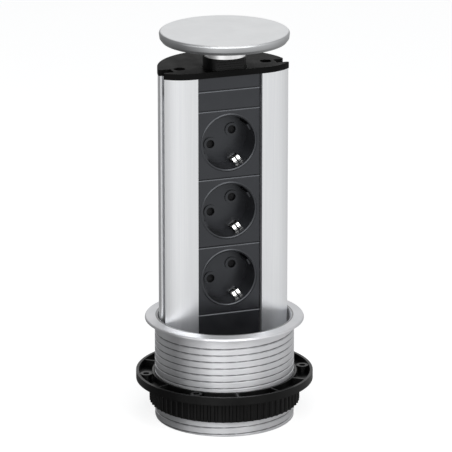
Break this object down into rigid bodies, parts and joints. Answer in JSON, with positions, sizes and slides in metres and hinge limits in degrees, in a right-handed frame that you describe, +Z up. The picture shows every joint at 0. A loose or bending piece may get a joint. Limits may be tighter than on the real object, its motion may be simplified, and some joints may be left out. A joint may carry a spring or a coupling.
{
  "type": "pop up desk socket",
  "caption": "Retractable desk socket: D-shaped aluminium tower of earthed outlets that slides up out of a threaded worktop collar, under a round lid.",
  "frame": {"origin": "centre of the collar's lower rim, which is the bottom centre of the whole part with the tower raised", "axes": "+Z up along the collar and the tower's travel, the outlets face -Y, +X to the right seen from the front"},
  "size_m": [0.13, 0.13, 0.291],
  "materials": {
    "collar_silver": "fine matt silver",
    "profile_aluminium": "satin anodised, drawn lengthwise",
    "lid_aluminium": "fine blasted, satin edge",
    "black_plastic": "satin moulded",
    "clamp_plastic": "satin moulded",
    "anthracite_plastic": "fine grained, satin",
    "grey_plastic": "plain",
    "shutter_plastic": "plain",
    "polished": "polished",
    "nickel": "bright nickel",
    "brass": "plain",
    "copper": "plain",
    "spring_steel": "bright",
    "screw_steel": "zinc plated",
    "rubber": "matt"
  },
  "bodies": {
    "collar": {"collar": "collar_silver", "guide_keys": "black_plastic", "brake_springs": "spring_steel"},
    "tower": {"rear_profile": "profile_aluminium", "front_profile_left": "profile_aluminium", "front_profile_right": "profile_aluminium", "top_cap": "black_plastic", "bottom_cap": "black_plastic", "top_filler": "anthracite_plastic", "blank_cover_top": "anthracite_plastic", "blank_cover_bottom": "anthracite_plastic", "socket_insert_1": "anthracite_plastic", "socket_insert_2": "anthracite_plastic", "socket_insert_3": "anthracite_plastic", "socket_housing_1": "grey_plastic", "socket_housing_2": "grey_plastic", "socket_housing_3": "grey_plastic", "line_contacts_1": "brass", "line_contacts_2": "brass", "line_contacts_3": "brass", "earth_contact_1": "nickel", "earth_contact_2": "nickel", "earth_contact_3": "nickel", "shutter_springs": "spring_steel", "live_bar": "copper", "neutral_bar": "copper", "earth_bar": "copper", "terminal_block": "grey_plastic", "terminal_screws": "screw_steel", "inlet_bush": "rubber", "cap_screws": "screw_steel", "bottom_screws": "screw_steel", "module_screws": "screw_steel", "travel_stops": "black_plastic", "lid_spring": "spring_steel"},
    "lid": {"lid": "lid_aluminium", "lid_carrier": "black_plastic", "lid_sleeve": "polished", "neck": "clamp_plastic", "retaining_washer": "screw_steel", "lid_screw": "screw_steel"},
    "shutter_1": {"shutter_1": "shutter_plastic"},
    "shutter_2": {"shutter_2": "shutter_plastic"},
    "shutter_3": {"shutter_3": "shutter_plastic"},
    "clamp_ring": {"clamp_ring": "clamp_plastic"},
    "clamp_nut": {"clamp_nut": "clamp_plastic"}
  },
  "joints": [
    {"name": "tower_slide", "type": "slide", "parent": "collar", "child": "tower", "axis": [0, 0, 1], "range_m": [-0.213, 0]},
    {"name": "lid_press", "type": "slide", "parent": "tower", "child": "lid", "axis": [0, 0, 1], "range_m": [-0.0024, 0], "stiffness_N_per_m": 900, "springref_m": 0.005, "deforming": ["lid_spring"]},
    {"name": "shutter_turn_1", "type": "hinge", "parent": "tower", "child": "shutter_1", "pos_m": [0, -0.0095, 0.108], "axis": [0, -1, 0], "range_deg": [0, 42], "stiffness_Nm_per_rad": 0.001, "springref_deg": -20.05},
    {"name": "shutter_turn_2", "type": "hinge", "parent": "tower", "child": "shutter_2", "pos_m": [0, -0.0095, 0.159], "axis": [0, -1, 0], "range_deg": [0, 42], "stiffness_Nm_per_rad": 0.001, "springref_deg": -20.05},
    {"name": "shutter_turn_3", "type": "hinge", "parent": "tower", "child": "shutter_3", "pos_m": [0, -0.0095, 0.21], "axis": [0, -1, 0], "range_deg": [0, 42], "stiffness_Nm_per_rad": 0.001, "springref_deg": -20.05},
    {"name": "clamp_slide", "type": "slide", "parent": "collar", "child": "clamp_ring", "axis": [0, 0, 1], "range_m": [-0.01, 0.0324]},
    {"name": "nut_turn", "type": "hinge", "parent": "clamp_ring", "child": "clamp_nut", "pos_m": [0, 0, 0.02], "axis": [0, 0, 1], "range_deg": [-719, 2332]}
  ],
  "couplings": [
    {"joint": "clamp_slide", "follows": "nut_turn", "m_per_rad": 0.00079577}
  ]
}
